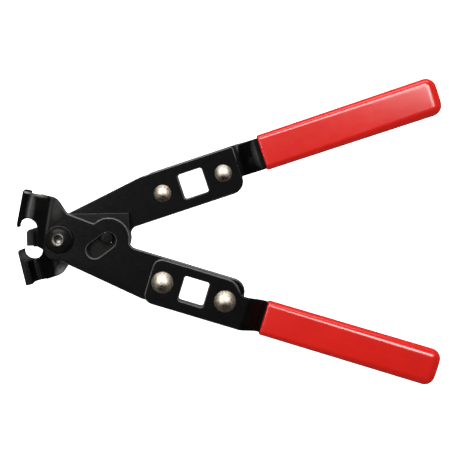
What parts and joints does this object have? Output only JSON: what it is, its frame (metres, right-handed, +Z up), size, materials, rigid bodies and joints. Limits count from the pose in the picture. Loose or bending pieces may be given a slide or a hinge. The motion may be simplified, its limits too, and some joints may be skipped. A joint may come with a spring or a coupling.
{
  "type": "ear clamp pliers",
  "caption": "Ear clamp pliers with black plate arms, cam-driven push slider, square drive holes and red dipped grips.",
  "frame": {"origin": "centre of the flat end of the pivot bolt, the lowest face as the tool lies on its back", "axes": "+X from the pivot towards the handles along the centreline, +Y across the tool on the side of the back arm's handle, +Z up through the stack of plates towards the bolt head"},
  "size_m": [0.2199, 0.1594, 0.0287],
  "materials": {
    "arm_steel": "satin black",
    "handle_steel": "satin black",
    "grip_vinyl": "smooth red vinyl",
    "rivet_steel": "bright domed",
    "slider_steel": "satin dark grey",
    "bolt_steel": "black oxide",
    "washer_steel": "black oxide"
  },
  "bodies": {
    "pivot": {"pivot_bolt": "bolt_steel", "front_pivot_washer": "washer_steel", "back_pivot_washer": "washer_steel", "pivot_nut": "bolt_steel"},
    "front_arm": {"front_arm_plate": "arm_steel", "front_handle_plate": "handle_steel", "front_grip": "grip_vinyl", "front_rivet_near": "rivet_steel", "front_rivet_far": "rivet_steel"},
    "back_arm": {"back_arm_plate": "arm_steel", "back_handle_plate": "handle_steel", "back_grip": "grip_vinyl", "back_rivet_near": "rivet_steel", "back_rivet_far": "rivet_steel"},
    "slider": {"slider_plate": "slider_steel", "slider_pin": "slider_steel"}
  },
  "joints": [
    {"name": "front_arm_close", "type": "hinge", "parent": "pivot", "child": "front_arm", "pos_m": [0, 0, 0.01475], "axis": [0, 0, 1], "range_deg": [0, 14.8]},
    {"name": "back_arm_close", "type": "hinge", "parent": "pivot", "child": "back_arm", "pos_m": [0, 0, 0.01475], "axis": [0, 0, -1], "range_deg": [0, 14.8]},
    {"name": "slider_push", "type": "slide", "parent": "pivot", "child": "slider", "axis": [-1, 0, 0], "range_m": [0, 0.0046]}
  ],
  "couplings": [
    {"joint": "back_arm_close", "follows": "front_arm_close", "ratio": 1},
    {"joint": "slider_push", "follows": "front_arm_close", "m_per_rad": 0.0174}
  ]
}
